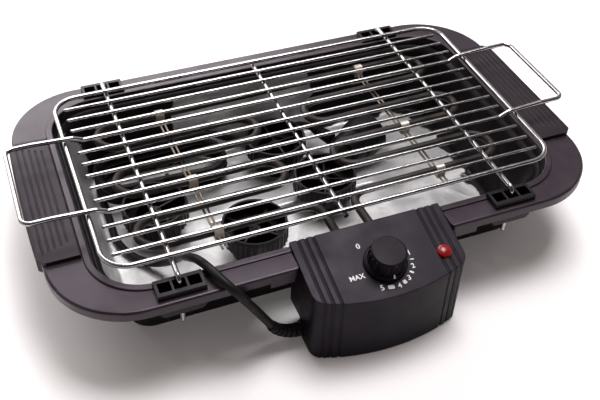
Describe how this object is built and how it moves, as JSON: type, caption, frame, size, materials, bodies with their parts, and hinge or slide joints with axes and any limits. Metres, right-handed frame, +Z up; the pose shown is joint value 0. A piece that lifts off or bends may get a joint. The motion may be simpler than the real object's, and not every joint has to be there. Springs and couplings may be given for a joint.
{
  "type": "electric grill",
  "caption": "Table-top electric grill with a lift-off wire rack, a plug-in heater with thermostat box, a drip tray, and its stand feet and mains lead stored in the tray",
  "frame": {"origin": "middle of the drip tray's underside, on the table", "axes": "+X to the right along the grill, +Y to the back, +Z up"},
  "size_m": [0.487, 0.3285, 0.0985],
  "materials": {
    "tray_sheet": "thin pressed aluminium, bright, a little crumpled",
    "foot_plastic": "moulded black plastic",
    "frame_plastic": "satin brown-grey moulded plastic",
    "grip_plastic": "darker satin plastic",
    "socket_plastic": "black moulded plastic",
    "screw_steel": "zinc-plated steel",
    "heater_steel": "dark brown heat-stained sheathed tube",
    "bracket_steel": "yellowed steel wire and clips",
    "box_plastic": "satin dark grey moulded plastic",
    "lamp_red": "clear red lens",
    "lamp_glass": "small neon lamp",
    "ceramic_white": "pale moulded insulating body",
    "cord_rubber": "black rubber lead",
    "plug_plastic": "black moulded plug",
    "pin_metal": "nickel-plated pins",
    "knob_plastic": "dark satin plastic",
    "rack_chrome": "bright chrome-plated wire"
  },
  "bodies": {
    "tray": {"drip_tray": "tray_sheet", "stand_foot_a": "foot_plastic", "stand_foot_b": "foot_plastic", "stand_foot_c": "foot_plastic", "stand_foot_d": "foot_plastic"},
    "base": {"base_frame": "frame_plastic", "grip_left": "grip_plastic", "grip_right": "grip_plastic", "grip_screws": "screw_steel", "socket_front_left": "socket_plastic", "socket_front_right": "socket_plastic", "socket_rear_left": "socket_plastic", "socket_rear_right": "socket_plastic", "heating_tube": "heater_steel", "tube_terminals": "bracket_steel", "support_rods_left": "bracket_steel", "support_rods_right": "bracket_steel", "rod_clips": "bracket_steel", "control_housing": "box_plastic", "housing_base": "box_plastic", "housing_screws": "screw_steel", "indicator_lens": "lamp_red", "indicator_lamp": "lamp_glass", "thermostat_body": "ceramic_white", "terminal_block": "ceramic_white", "cord_clamp": "box_plastic", "cord_gland": "cord_rubber", "cord_lead": "cord_rubber", "cord_hank": "cord_rubber", "cord_tail": "cord_rubber", "plug_body": "plug_plastic", "plug_boot": "cord_rubber", "plug_pins": "pin_metal"},
    "dial": {"knob": "knob_plastic", "knob_shaft": "screw_steel"},
    "rack": {"rack_frame": "rack_chrome", "rack_bars": "rack_chrome", "rack_handle_wire": "rack_chrome", "rack_cross_middle": "rack_chrome", "rack_cross_left": "rack_chrome", "rack_cross_right": "rack_chrome"}
  },
  "joints": [
    {"name": "base_lift", "type": "slide", "parent": "tray", "child": "base", "axis": [0, 0, 1], "range_m": [0, 0.08]},
    {"name": "thermostat_turn", "type": "hinge", "parent": "base", "child": "dial", "pos_m": [0.0125, -0.156, 0.07099], "axis": [0, -0.2284, 0.9736], "range_deg": [-76, 218]},
    {"name": "rack_lift", "type": "slide", "parent": "base", "child": "rack", "axis": [0, 0, 1], "range_m": [0, 0.06]}
  ]
}
